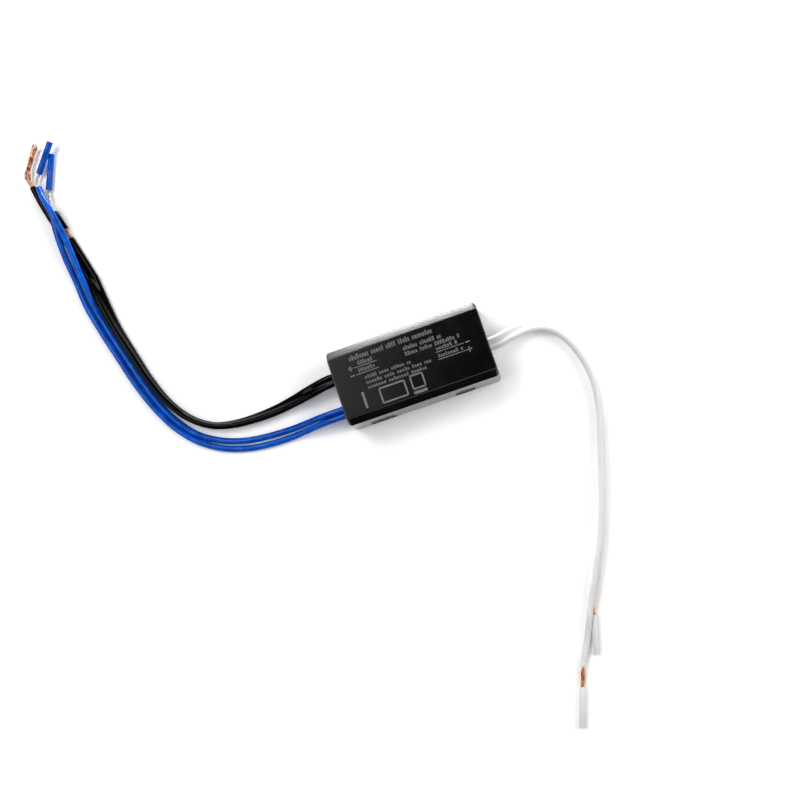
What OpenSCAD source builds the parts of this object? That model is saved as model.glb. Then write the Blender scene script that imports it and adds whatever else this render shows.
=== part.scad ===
// Small inline dimmer module: a drafted two-piece clip housing round a populated board, with a
// black supply lead, a pair of blue control wires and a white lamp lead.
// Millimetres. Origin at the middle of the base, +X towards the lamp lead, +Z up.

/* [Housing] */
// Length of the housing at its base
case_l = 41.3; // [38.5:0.1:46]
// Width of the housing at its base
case_w = 20.6; // [19.5:0.1:24]
// Height of the housing
case_h = 15; // [14:0.5:18]
// Thickness of the side and end walls
wall = 1.2; // [1:0.1:1.5]
// Thickness of the top
top_t = 1.4; // [0.8:0.1:2]
// Draft of the moulded walls, in degrees
draft = 2; // [0.5:0.25:2.5]
// Width of the bevel along each long top edge
bevel_w = 2.15; // [1:0.05:3]
// Height of the bevel along each long top edge
bevel_h = 1.9; // [1:0.1:3.5]
// Radius of the upright corners
corner_r = 1.1; // [0.6:0.1:2]
// Radius of the softened rim of the top face
rim_soft = 0.35; // [0.15:0.05:0.5]
// Size of the small chamfer round the foot
foot_soft = 0.2; // [0.1:0.05:0.3]

/* [Base plate and latches] */
// Thickness of the clip-in base plate
base_t = 1.4; // [1.2:0.1:2]
// Wall left outside the seat of the base plate
seat_wall = 0.6; // [0.4:0.05:0.8]
// Clearance round parts that slide together
fit = 0.1; // [0.05:0.05:0.15]
// Middle of the latches near the supply end
latch_x_in = -12.1; // [-12.6:0.1:-8.5]
// Middle of the latches near the lamp end
latch_x_out = 10.6; // [9:0.1:12.6]
// Width of the latch notches near the supply end
latch_w_in = 7; // [5:0.1:7.4]
// Width of the latch notches near the lamp end
latch_w_out = 5.8; // [5:0.1:7.4]
// Height of each latch notch
latch_h = 2.2; // [1.6:0.1:2.4]
// Depth of the shallow panel in the wall over each latch
panel = 0.15; // [0.1:0.05:0.25]
// Height of the tabs at the foot of the notches
tab_h = 0.5; // [0.4:0.1:1]
// Height of the latch arms above the base
arm_h = 6.4; // [6:0.1:8]
// Thickness of the latch arms
arm_t = 0.9; // [0.7:0.1:1]
// Reach of the latch hooks into their windows
hook = 0.45; // [0.3:0.05:0.5]

/* [Circuit board] */
// Height of the underside of the board
board_z = 3; // [2.6:0.1:4]
// Thickness of the board
board_t = 1; // [0.8:0.1:1.6]
// Gap from the board's long edges to the walls
board_side_gap = 0.6; // [0.4:0.1:0.8]
// Gap from the board's ends to the walls
board_end_gap = 1.2; // [0.8:0.1:1.4]
// Diameter of the posts that carry the board
post_d = 2.4; // [2:0.1:3]
// Diameter of the pins that locate the board
pin_d = 1.1; // [0.9:0.05:1.3]

/* [Board components] */
// Diameter of the input capacitor's can
cap_in_d = 6.3; // [5:0.1:6.8]
// Height of the input capacitor's can
cap_in_h = 7.4; // [5:0.1:8]
// Diameter of the output capacitor's can
cap_out_d = 5; // [4:0.1:5.5]
// Height of the output capacitor's can
cap_out_h = 5.6; // [4.5:0.1:7]
// Thickness of the capacitors' plastic feet
foot_t = 0.8; // [0.6:0.1:1]
// Diameter of the inductor's flanges
coil_d = 7.8; // [6.5:0.1:8.2]
// Height of the inductor
coil_h = 5; // [4:0.1:7]
// Length of the control chip's body
chip_l = 4.9; // [4:0.1:5.5]
// Width of the control chip's body
chip_w = 3.9; // [3:0.1:4]
// Pitch of the control chip's pins
chip_pitch = 1.27; // [1:0.01:1.3]

/* [Leads] */
// Width of the flat twin leads
lead_w = 3.6; // [3.2:0.1:3.7]
// Thickness of the flat twin leads
lead_t = 1.75; // [1.6:0.05:1.8]
// Diameter of a single insulated wire
wire_d = 1.7; // [1.5:0.05:1.8]
// Diameter of the bare conductor
core_d = 0.9; // [0.7:0.05:1]
// Distance from the middle line to the supply lead
supply_y = 3.8; // [3.6:0.1:4.4]
// Distance from the middle line to the control wires
control_y = 5.2; // [4.6:0.1:5.4]
// Spacing of the two control wires at the housing
control_pitch = 1.8; // [1.75:0.05:2]
// Distance from the middle line to the lamp lead
lamp_y = 0.6; // [0:0.1:1.5]
// Clearance between a lead and its outlet
lead_gap = 0.05; // [0.03:0.01:0.1]

/* [Hidden] */

$fn = 32;
slope = tan(draft);
over = 0.1;

board_top = board_z + board_t;
board_l = case_l - 2 * wall - 2 * board_end_gap;
board_w = case_w - 2 * wall - 2 * board_side_gap;
room_top = case_h - top_t;
lead_lift = 0.15;
lead_z = board_top + lead_t / 2 + lead_lift;
latch_xs = [latch_x_in, latch_x_out];
latch_ws = [latch_w_in, latch_w_out];

// The latch arms stand just inside the walls
arm_out = case_w / 2 - wall - 0.35;
arm_in = arm_out - arm_t;
hook_y = case_w / 2 - wall - 0.15 + hook;
arm_ws = [latch_w_in - 1, latch_w_out - 1];
hook_z = arm_h - 1.6;
panel_top = hook_z - 0.2;
post_x = board_l / 2 - 1.3;
post_y = board_w / 2 - 1.9;

// Tails drop into the board where the leads end
tail_run = 1.4;
tail_x = board_l / 2 - 4.1;
lead_end_x = tail_x + tail_run;
tail_pitch = lead_w / 2;
tail_bend = 0.8;
tail_below = 0.8;
supply_tail_ys = [supply_y - tail_pitch / 2, supply_y + tail_pitch / 2];
control_tail_ys = [-control_y - control_pitch / 2, -control_y + control_pitch / 2];
lamp_tail_ys = [-lamp_y - tail_pitch / 2, -lamp_y + tail_pitch / 2];

// Places of the components on the board. The tall ones share out the length between the tails.
fuse_l = 4.2;
foot_rim = 0.15;
foot_in = cap_in_d + 2 * foot_rim;
foot_out = cap_out_d + 2 * foot_rim;
row_gap = (2 * tail_x - core_d - fuse_l - foot_in - coil_d - foot_out) / 5;
fuse_at = [-tail_x + core_d / 2 + row_gap + fuse_l / 2, 5.2];
cap_in_at = [fuse_at[0] + fuse_l / 2 + row_gap + foot_in / 2, 3.4];
coil_at = [cap_in_at[0] + foot_in / 2 + row_gap + coil_d / 2, 3.2];
cap_out_at = [coil_at[0] + coil_d / 2 + row_gap + foot_out / 2, 3.6];
// The small ones keep their distance from the tails, or stay near the middle
diode_from_tail = 3;
part_from_tail = 1.9;
resistor_from_tail = 3.7;
input_diode_at = [-tail_x + diode_from_tail, 0.4];
chip_at = [-4.9, -4.2];
transistor_at = [2.9, -4.6];
freewheel_at = [8.6, -5.3];
sense_at = [[7.6, -1.4], [9.6, -1.4]];
resistor_at = [
    [-tail_x + resistor_from_tail, -3.2], [-tail_x + resistor_from_tail, -5.4], [-1.2, -1.2], [0.4, -1.6], [-1.3, -6.9]
];
capacitor_at = [[tail_x - part_from_tail, -4.6], [-1.3, -3.9], [5.8, -1.5], [-tail_x + part_from_tail, -4.2]];

// Routes of the leads. Each point is X, Y, Z and the roll of a flat lead in degrees.
straight_out = 2;
supply_route = [
    [-lead_end_x, supply_y, lead_z, 0],
    [-case_l / 2 - straight_out, supply_y, lead_z, 0],
    [-28.2, 3.05, 4.3, 10],
    [-33.3, 2.35, 2.6, 30],
    [-38.6, 1.75, 1.65, 45],
    [-44.7, 1.5, 1.7, 58],
    [-50.9, 1.9, 1.8, 70],
    [-56.6, 3.45, 1.85, 82],
    [-62, 7.4, 1.85, 85],
    [-66.3, 13.4, 1.85, 85],
    [-69.4, 20.9, 1.85, 80],
    [-71.7, 29.2, 1.85, 75],
    [-73.9, 37.5, 1.8, 65],
    [-75.4, 45.7, 1.55, 40],
    [-76.5, 53.4, 0.9, 0]
];
supply_long_route = [
    [-77.4, 53.45, 0.9], [-79, 59.6, 0.9], [-80.7, 65.8, 0.9], [-82.4, 72, 0.9], [-83.9, 78.1, 0.9], [-84.9, 83.3, 0.9]
];
supply_short_route = [[-75.7, 53.7, 0.9], [-76.7, 57.7, 0.9], [-77.8, 61.9, 0.9], [-78.85, 65.8, 0.9]];
control_inner_route = [
    [-lead_end_x, -control_y + control_pitch / 2, lead_z],
    [-case_l / 2 - straight_out, -control_y + control_pitch / 2, lead_z],
    [-28, -4.3, 4.3],
    [-32.8, -4.4, 2.4],
    [-37.5, -4.4, 1],
    [-43.7, -4.1, 0.9],
    [-49.8, -3.2, 0.9],
    [-55.6, -1.15, 0.9],
    [-60.9, 2.1, 0.9],
    [-65.2, 6.9, 0.9],
    [-68.8, 13.3, 0.9],
    [-71.6, 20.9, 0.9],
    [-74.1, 29.3, 0.9],
    [-76.4, 37.5, 0.9],
    [-78.1, 45.2, 1.2],
    [-78.6, 52.4, 2.4],
    [-79.1, 58.6, 2.7],
    [-79.6, 66, 3.4],
    [-80.4, 71.7, 4.3],
    [-81.2, 75.5, 4.3],
    [-82.2, 78.8, 3.2],
    [-83, 82.1, 1.9]
];
control_outer_route = [
    [-lead_end_x, -control_y - control_pitch / 2, lead_z],
    [-case_l / 2 - straight_out, -control_y - control_pitch / 2, lead_z],
    [-28, -6.2, 4.3],
    [-32.8, -6.4, 2.4],
    [-37.5, -6.4, 1],
    [-43.7, -6.1, 0.9],
    [-49.8, -5.2, 0.9],
    [-56.5, -2.9, 0.9],
    [-62.3, 1, 0.9],
    [-67, 6.5, 0.9],
    [-70.7, 13.3, 0.9],
    [-73.6, 20.9, 0.9],
    [-76, 29.3, 0.9],
    [-78.4, 38, 0.9],
    [-80.3, 46.3, 0.9],
    [-81, 53.5, 0.9],
    [-81.5, 60.1, 2],
    [-81.6, 65.8, 2.7],
    [-81.5, 71.4, 2.7]
];
lamp_route = [
    [lead_end_x, -lamp_y, lead_z, 0],
    [case_l / 2 + straight_out, -lamp_y, lead_z, 0],
    [25.8, 0.1, 4.3, 0],
    [29.6, 0.6, 2.2, -15],
    [33.4, 0.1, 1.7, -55],
    [37.4, -2.2, 1.85, -85],
    [40.7, -7.1, 1.85, -90],
    [42.5, -13.1, 1.85, -90],
    [42.9, -19.2, 1.85, -90],
    [41.8, -26.1, 1.85, -90],
    [39.6, -33.5, 1.85, -90],
    [36.9, -41.9, 1.85, -90],
    [33.9, -50.3, 1.85, -85],
    [30.7, -58.2, 1.8, -80],
    [28.1, -63.3, 1.78, -75],
    [26.9, -65.95, 1.75, -68]
];
// The longer end stays on top of the shorter one until they part
lamp_long_route = [
    [26.53, -65.92, 2.6], [25.35, -68.1, 2.6], [24.7, -69.3, 2.45], [23.7, -71.35, 2.2], [22.6, -73.5, 2.1],
    [21.7, -75.4, 2], [20.9, -77.2, 1.6], [19.45, -80.4, 0.95], [17.1, -84.9, 0.9], [16.12, -86.8, 0.9]
];
lamp_short_route = [[27.17, -66.2, 0.9], [25.85, -68.7, 0.9]];

// Bare conductors run on from the insulation into the cut-off sleeves
sleeve_bore = core_d + 0.15;
strand_d = 0.5;
strand_left = [
    [-85.1, 83.45, 0.9], [-86, 86.5, 0.7], [-84.8, 89.1, 0.6], [-83, 91.9, 0.6], [-80.8, 94.9, 0.6]
];
strand_right = [
    [-84.7, 83.45, 0.9], [-84.95, 86.1, 1.1], [-84, 88.6, 1.2], [-82.3, 91.3, 1.2], [-80.2, 94.1, 1.1]
];
supply_short_core_route = [[-78.88, 65.92, 0.9], [-79.45, 68.8, 0.9], [-80.66, 73.1, 0.9]];
supply_sleeve_from = [-79.45, 68.8, 0.9];
supply_sleeve_to = [-81, 74.4, 0.9];
control_inner_core_route = [[-83.02, 82.3, 1.9], [-83.2, 84.2, 1.4], [-81.9, 86.2, 1.2], [-78.1, 90.35, 2.4]];
control_inner_sleeve_from = [-81.9, 86.2, 1.2];
control_inner_sleeve_to = [-75.6, 92.9, 3.1];
control_outer_core_route = [[-81.5, 71.5, 2.7], [-81.1, 75.8, 2.4], [-80.7, 81.1, 0.9], [-78.5, 86.7, 0.9]];
control_outer_sleeve_from = [-80.7, 81.1, 0.9];
control_outer_sleeve_to = [-77, 90.4, 0.9];
lamp_long_core_route = [[16.08, -86.9, 0.9], [14.3, -91.6, 0.9], [12.3, -97.5, 0.9]];
lamp_long_sleeve_from = [14.3, -91.6, 0.9];
lamp_long_sleeve_to = [10.9, -101.4, 0.9];
lamp_short_core_route = [[25.82, -68.82, 0.9], [24.35, -72.6, 0.9], [23.33, -75.28, 0.9], [22, -79.72, 0.9]];
lamp_short_sleeve_from = [23.33, -75.28, 0.9];
lamp_short_sleeve_to = [20.42, -84.98, 0.9];

// Vector helpers
function unit(v) = v / norm(v);
function place(p) = [p[0], p[1], p[2]];
function roll(p) = len(p) > 3 ? p[3] : 0;
function heading(route, i) =
    unit(place(route[min(i + 1, len(route) - 1)]) - place(route[max(i - 1, 0)]));

// Outline of a rounded rectangle at one height, as a closed ring of points
ring_steps = 6;
function corner_points(cx, cy, r, from, z) =
    [for (k = [0:ring_steps]) let (a = from + 90 * k / ring_steps) [cx + r * cos(a), cy + r * sin(a), z]];
function rounded_ring(hx, hy, r, z) = concat(
    corner_points(hx - r, hy - r, r, 0, z),
    corner_points(-hx + r, hy - r, r, 90, z),
    corner_points(-hx + r, -hy + r, r, 180, z),
    corner_points(hx - r, -hy + r, r, 270, z));

// Solid through a stack of rings with the same number of points
module loft(rings) {
    n = len(rings[0]);
    last = len(rings) - 1;
    polyhedron(
        points = [for (ring = rings) for (p = ring) p],
        faces = concat(
            [[for (i = [0:n - 1]) i]],
            [for (k = [0:last - 1]) for (i = [0:n - 1]) [k * n + i, (k + 1) * n + i, (k + 1) * n + (i + 1) % n]],
            [for (k = [0:last - 1]) for (i = [0:n - 1]) [k * n + i, (k + 1) * n + (i + 1) % n, k * n + (i + 1) % n]],
            [[for (i = [n - 1:-1:0]) last * n + i]]));
}

// Section of a wire or of a flat twin lead, with eight sides
function round_section(d) = [for (k = [0:7]) let (a = 22.5 + 45 * k) [d / 2 * cos(a), d / 2 * sin(a)]];
function flat_section(w, t) =
    let (r = t / 2, c = w / 2 - r)
    [[c + r * cos(22.5), r * sin(22.5)], [c, r], [-c, r], [-c - r * cos(22.5), r * sin(22.5)],
     [-c - r * cos(22.5), -r * sin(22.5)], [-c, -r], [c, -r], [c + r * cos(22.5), -r * sin(22.5)]];
function swept_ring(route, i, section) =
    let (
        t = heading(route, i),
        side = unit(cross([0, 0, 1], t)),
        up = cross(t, side),
        a = roll(route[i]))
    [for (q = section)
        place(route[i]) + (q[0] * cos(a) - q[1] * sin(a)) * side + (q[0] * sin(a) + q[1] * cos(a)) * up];
module sweep(route, section) {
    loft([for (i = [len(route) - 1:-1:0]) swept_ring(route, i, section)]);
}

// Upright cross-section drawn in Y and Z and run along X
module along_x(from, to) {
    translate([from, 0, 0]) rotate([90, 0, 90]) linear_extrude(to - from) children();
}

module block(at, size) {
    translate([at[0] - size[0] / 2, at[1] - size[1] / 2, at[2]]) cube(size);
}

// Straight round bar or tube between two points
module bar_between(a, b, d, bore = 0) {
    run = b - a;
    translate(a)
        rotate([0, acos(run[2] / norm(run)), atan2(run[1], run[0])])
            difference() {
                cylinder(d = d, h = norm(run));
                if (bore > 0) translate([0, 0, -over]) cylinder(d = bore, h = norm(run) + 2 * over);
            }
}

// Half sizes of the drafted housing at a height
function half_l(z) = case_l / 2 - slope * z;
function half_w(z) = case_w / 2 - slope * z;
function bevel_in(z) = bevel_w * max(0, z - (case_h - bevel_h)) / bevel_h;

module housing_outside() {
    z_bevel = case_h - bevel_h;
    z_soft = case_h - rim_soft;
    loft([
        rounded_ring(half_l(0) - foot_soft, half_w(0) - foot_soft, corner_r - foot_soft / 2, 0),
        rounded_ring(half_l(foot_soft), half_w(foot_soft), corner_r, foot_soft),
        rounded_ring(half_l(z_bevel), half_w(z_bevel), corner_r, z_bevel),
        rounded_ring(half_l(z_soft), half_w(z_bevel) - bevel_in(z_soft), corner_r * 0.6, z_soft),
        rounded_ring(half_l(z_soft) - 0.3 * rim_soft, half_w(z_bevel) - bevel_in(z_soft) - 0.3 * rim_soft,
            corner_r * 0.5, case_h - 0.3 * rim_soft),
        rounded_ring(half_l(case_h) - rim_soft, half_w(z_bevel) - bevel_w, corner_r * 0.4, case_h)
    ]);
}

module housing_room() {
    z_bevel = case_h - bevel_h;
    r = corner_r * 0.4;
    loft([
        rounded_ring(half_l(0) - wall, half_w(0) - wall, r, -over),
        rounded_ring(half_l(z_bevel) - wall, half_w(z_bevel) - wall, r, z_bevel - top_t / 2),
        rounded_ring(half_l(room_top) - wall, half_w(z_bevel) - bevel_in(room_top) - wall, r, room_top)
    ]);
}

// Shapes of the lead outlets, in Y and Z
module lead_hole(gap) {
    offset_r = lead_t / 2 + gap;
    for (s = [-1, 1]) translate([s * (lead_w - lead_t) / 2, 0]) circle(offset_r);
    square([lead_w - lead_t, 2 * offset_r], center = true);
}
module wire_pair_hole(gap) {
    for (s = [-1, 1]) translate([s * control_pitch / 2, 0]) circle(wire_d / 2 + gap);
}
module outlet(width) {
    translate([-width / 2, -lead_z - over]) square([width, lead_z + over]);
}
outlet_w = lead_w + 2 * fit;
pair_outlet_w = control_pitch + wire_d + 2 * fit;

module outlet_cuts() {
    along_x(-case_l / 2 - over, -case_l / 2 + wall + 5 * over) {
        translate([supply_y, lead_z]) { lead_hole(fit); outlet(outlet_w); }
        translate([-control_y, lead_z]) { wire_pair_hole(fit); outlet(pair_outlet_w); }
    }
    along_x(case_l / 2 - wall - 5 * over, case_l / 2 + over)
        translate([-lamp_y, lead_z]) { lead_hole(fit); outlet(outlet_w); }
}

module case_cover() {
    rib_t = 0.8;
    rib_y = 7.7;
    rib_reach = board_end_gap + 1;
    color("#1c1e20") {
        difference() {
            housing_outside();
            housing_room();
            // Seat of the base plate
            loft([
                rounded_ring(case_l / 2 - seat_wall, case_w / 2 - seat_wall, corner_r * 0.7, -over),
                rounded_ring(case_l / 2 - seat_wall, case_w / 2 - seat_wall, corner_r * 0.7, base_t + fit / 2)]);
            outlet_cuts();
            for (i = [0, 1], s = [-1, 1]) {
                x = latch_xs[i];
                w = latch_ws[i];
                // Notch for the base plate's tab, open at the bottom
                block([x, s * case_w / 2, -over], [w, 2 * wall + 2 * over, latch_h + over]);
                // Shallow panel that lets the wall give over the hook
                along_x(x - w / 2, x + w / 2)
                    polygon([
                        [s * (half_w(0) - panel), -over], [s * (half_w(0) + over), -over],
                        [s * (half_w(0) + over), panel_top], [s * (half_w(panel_top) - panel), panel_top]]);
                // Window that the hook snaps into
                block([x, s * half_w(hook_z), hook_z - fit], [arm_ws[i] + 2 * fit, 3 * wall, arm_h - hook_z + 2 * fit]);
            }
        }
        // Ribs that hold the board down at its ends
        for (sx = [-1, 1], sy = [-1, 1]) {
            x_in = half_l(room_top) - wall - rib_reach + 0.4;
            translate([sx > 0 ? x_in : -half_l(0) + wall / 2, sy * rib_y - rib_t / 2, board_top + fit])
                cube([half_l(0) - wall / 2 - x_in, rib_t, room_top - bevel_h - board_top]);
        }
    }
}

module base_plate() {
    plate_l = case_l / 2 - seat_wall - fit;
    plate_w = case_w / 2 - seat_wall - fit;
    tongue_x = wall + seat_wall;
    tongue_in = 0.3;
    rib_y = 3;
    rib_t = 0.8;
    rib_h = 0.8;
    rib_stop = 3;
    color("#232528") {
        loft([rounded_ring(plate_l, plate_w, corner_r * 0.6, 0), rounded_ring(plate_l, plate_w, corner_r * 0.6, base_t)]);
        for (i = [0, 1], s = [-1, 1]) {
            x = latch_xs[i];
            tab_out = half_w(0) - 0.05;
            // Tab that closes the foot of the notch in the wall
            translate([x - latch_ws[i] / 2 + fit, s > 0 ? plate_w - over : -tab_out, 0])
                cube([latch_ws[i] - 2 * fit, tab_out - plate_w + over, tab_h]);
            // Springy arm with its hook
            along_x(x - arm_ws[i] / 2, x + arm_ws[i] / 2)
                polygon([
                    [s * arm_in, base_t - over], [s * arm_out, base_t - over], [s * arm_out, hook_z],
                    [s * hook_y, hook_z], [s * hook_y, hook_z + 0.4],
                    [s * arm_out, arm_h], [s * arm_in, arm_h]]);
        }
        // Tongues that close the outlets below the leads
        difference() {
            union() {
                along_x(-case_l / 2 + tongue_in, -case_l / 2 + tongue_x) {
                    translate([supply_y, lead_z]) tongue(outlet_w);
                    translate([-control_y, lead_z]) tongue(pair_outlet_w);
                }
                along_x(case_l / 2 - tongue_x, case_l / 2 - tongue_in)
                    translate([-lamp_y, lead_z]) tongue(outlet_w);
            }
            along_x(-case_l / 2 - over, -case_l / 2 + tongue_x + over) {
                translate([supply_y, lead_z]) lead_hole(lead_gap);
                translate([-control_y, lead_z]) wire_pair_hole(lead_gap);
            }
            along_x(case_l / 2 - tongue_x - over, case_l / 2 + over)
                translate([-lamp_y, lead_z]) lead_hole(lead_gap);
        }
        // Posts and pins for the board
        for (sx = [-1, 1], sy = [-1, 1]) translate([sx * post_x, sy * post_y, 0]) {
            cylinder(d = post_d, h = board_z);
            cylinder(d = pin_d, h = board_top);
        }
        // Stiffening ribs under the board
        for (s = [-1, 1]) block([0, s * rib_y, base_t - over], [2 * (tail_x - rib_stop), rib_t, rib_h + over]);
    }
}
module tongue(width) {
    translate([-width / 2 + fit, -lead_z]) square([width - 2 * fit, lead_z]);
}

module circuit_board() {
    color("#1f5a35") difference() {
        block([0, 0, board_z], [board_l, board_w, board_t]);
        for (sx = [-1, 1], sy = [-1, 1]) translate([sx * post_x, sy * post_y, board_z - over])
            cylinder(d = pin_d + 2 * fit, h = board_t + 2 * over);
        for (i = [0, 1], s = [-1, 1])
            block([latch_xs[i], s * board_w / 2, board_z - over],
                [arm_ws[i] + 4 * fit, 2 * (board_w / 2 - arm_in + 2 * fit), board_t + 2 * over]);
        tail_places() translate([0, 0, board_z - over]) cylinder(d = core_d + 2 * fit, h = board_t + 2 * over);
    }
}

module tail_places() {
    for (y = supply_tail_ys) translate([-tail_x, y, 0]) children();
    for (y = control_tail_ys) translate([-tail_x, y, 0]) children();
    for (y = lamp_tail_ys) translate([tail_x, y, 0]) children();
}

// Aluminium can with its crimped groove and domed shoulder
module can(d, h) {
    r = d / 2;
    rotate_extrude() polygon([
        [0, 0], [r - 0.2, 0], [r, 0.2], [r, 0.9], [r - 0.25, 1.15], [r - 0.25, 1.45], [r, 1.7],
        [r, h - 0.35], [r - 0.35, h], [r - 0.7, h], [r - 0.8, h - 0.1], [0, h - 0.1]]);
}
module input_capacitor() {
    color("#b9bcc0") translate([cap_in_at[0], cap_in_at[1], board_top + foot_t]) can(cap_in_d, cap_in_h);
}
module output_capacitor() {
    color("#b9bcc0") translate([cap_out_at[0], cap_out_at[1], board_top + foot_t]) can(cap_out_d, cap_out_h);
}
// Square plastic foot with two clipped corners
module foot(d) {
    s = d / 2 + foot_rim;
    c = 0.9;
    linear_extrude(foot_t) polygon([[-s, -s], [s - c, -s], [s, -s + c], [s, s - c], [s - c, s], [-s, s]]);
}
module capacitor_feet() {
    color("#1a1a1a") {
        translate([cap_in_at[0], cap_in_at[1], board_top]) foot(cap_in_d);
        translate([cap_out_at[0], cap_out_at[1], board_top]) foot(cap_out_d);
    }
}

coil_flange = 0.9;
coil_waist = 3.2;
module inductor_core() {
    r = coil_d / 2;
    color("#3a3a3c") translate([coil_at[0], coil_at[1], board_top]) rotate_extrude() polygon([
        [0, 0], [r, 0], [r, coil_flange], [coil_waist / 2, coil_flange],
        [coil_waist / 2, coil_h - coil_flange], [r - 0.2, coil_h - coil_flange], [r - 0.2, coil_h], [0, coil_h]]);
}
module inductor_winding() {
    layers = 5;
    z0 = coil_flange + fit / 2;
    z1 = coil_h - coil_flange - fit / 2;
    turn = (z1 - z0) / layers;
    r = coil_d / 2 - 0.7;
    color("#b4622d") translate([coil_at[0], coil_at[1], board_top]) rotate_extrude() polygon(concat(
        [[coil_waist / 2 + fit / 2, z0]],
        [for (k = [0:layers - 1]) for (q = [0, 0.5]) [r - (q == 0 ? 0.12 : 0), z0 + (k + q) * turn]],
        [[r - 0.12, z1], [coil_waist / 2 + fit / 2, z1]]));
}

chip_h = 1.5;
chip_up = 0.15;
module control_chip() {
    color("#202020") translate([chip_at[0], chip_at[1], board_top + chip_up]) difference() {
        rotate([90, 0, 90]) translate([0, 0, -chip_l / 2]) linear_extrude(chip_l) polygon([
            [-chip_w / 2 + 0.12, 0], [chip_w / 2 - 0.12, 0], [chip_w / 2, chip_h / 2],
            [chip_w / 2 - 0.15, chip_h], [-chip_w / 2 + 0.15, chip_h], [-chip_w / 2, chip_h / 2]]);
        translate([-chip_l / 2 + 0.7, -chip_w / 2 + 0.8, chip_h - 0.15]) cylinder(d = 0.6, h = 1);
    }
}
// Gull-wing pin seen from the side, its root at the body
module gull_pin(width, reach, root_z) {
    t = 0.2;
    rotate([90, 0, 90]) translate([0, 0, -width / 2]) linear_extrude(width) polygon([
        [0, root_z], [reach * 0.35, root_z], [reach * 0.55, t], [reach, t], [reach, 0],
        [reach * 0.45, 0], [reach * 0.25, root_z - t], [0, root_z - t]]);
}
module control_chip_pins() {
    color("#c9ccd0") translate([chip_at[0], chip_at[1], board_top])
        for (k = [-1.5:1:1.5], s = [0, 180])
            rotate([0, 0, s]) translate([k * chip_pitch, chip_w / 2 + 0.02, 0]) gull_pin(0.42, 1.05, 0.95);
}

tab_l = 6.5;
tab_w = 3.5;
module power_transistor() {
    color("#202020") translate([transistor_at[0], transistor_at[1], board_top + 0.1])
        rotate([90, 0, 90]) translate([0, 0, -tab_l / 2]) linear_extrude(tab_l) polygon([
            [-tab_w / 2 + 0.1, 0], [tab_w / 2 - 0.1, 0], [tab_w / 2, 0.8], [tab_w / 2 - 0.15, 1.6],
            [-tab_w / 2 + 0.15, 1.6], [-tab_w / 2, 0.8]]);
}
module power_transistor_pins() {
    color("#c9ccd0") translate([transistor_at[0], transistor_at[1], board_top]) {
        for (k = [-1:1]) translate([k * 2.3, -tab_w / 2 - 0.02, 0]) rotate([0, 0, 180]) gull_pin(0.7, 1.5, 1);
        translate([0, tab_w / 2 + 0.02, 0]) gull_pin(3, 1.5, 1);
    }
}

diode_l = 4.3;
diode_w = 2.6;
diode_h = 2.1;
module diode_body() {
    rotate([90, 0, 90]) translate([0, 0, -diode_w / 2]) linear_extrude(diode_w) polygon([
        [-diode_l / 2 + 0.1, 0], [diode_l / 2 - 0.1, 0], [diode_l / 2, diode_h / 2],
        [diode_l / 2 - 0.2, diode_h], [-diode_l / 2 + 0.2, diode_h], [-diode_l / 2, diode_h / 2]]);
}
module input_diode() {
    color("#242424") translate([input_diode_at[0], input_diode_at[1], board_top + 0.2]) diode_body();
}
module freewheel_diode() {
    color("#242424") translate([freewheel_at[0], freewheel_at[1], board_top + 0.2]) diode_body();
}
module diode_terminals() {
    t = 0.18;
    color("#c9ccd0") for (at = [input_diode_at, freewheel_at], s = [0, 180])
        translate([at[0], at[1], board_top]) rotate([0, 0, s])
            translate([-0.75, 0, 0]) rotate([90, 0, 90]) linear_extrude(1.5) polygon([
                [diode_l / 2 + 0.02, diode_h / 2 + 0.2], [diode_l / 2 + 0.02 + t, diode_h / 2 + 0.2],
                [diode_l / 2 + 0.02 + t, 0], [diode_l / 2 - 0.9, 0], [diode_l / 2 - 0.9, t],
                [diode_l / 2 + 0.02, t]]);
}

fuse_s = 1.9;
cap_l = 0.8;
module input_fuse() {
    color("#e8e4d8") block([fuse_at[0], fuse_at[1], board_top + 0.05],
        [fuse_l - 2 * cap_l, fuse_s - 0.1, fuse_s - 0.1]);
}
module fuse_caps() {
    color("#c9ccd0") for (s = [-1, 1])
        block([fuse_at[0] + s * (fuse_l - cap_l) / 2, fuse_at[1], board_top], [cap_l, fuse_s, fuse_s]);
}

// A chip component is a slab between two metal ends
module chip_slab(at, size, end) {
    block([at[0], at[1], board_top], [size[0], size[1] - 2 * end, size[2]]);
}
module chip_ends(at, size, end) {
    for (s = [-1, 1]) block([at[0], at[1] + s * (size[1] - end) / 2, board_top], [size[0], end, size[2]]);
}
sense_size = [1.5, 3.1, 0.6];
small_size = [0.8, 1.6, 0.5];
thick_size = [1.2, 2, 1];
module sense_resistors() {
    color("#26282b") for (at = sense_at) chip_slab(at, sense_size, 0.45);
}
module chip_resistors() {
    color("#1d1f22") for (at = resistor_at) chip_slab(at, small_size, 0.3);
}
module chip_capacitors() {
    color("#a98a5f") for (at = capacitor_at) chip_slab(at, thick_size, 0.35);
}
module chip_end_caps() {
    color("#c9ccd0") {
        for (at = sense_at) chip_ends(at, sense_size, 0.45);
        for (at = resistor_at) chip_ends(at, small_size, 0.3);
        for (at = capacitor_at) chip_ends(at, thick_size, 0.35);
    }
}

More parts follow.
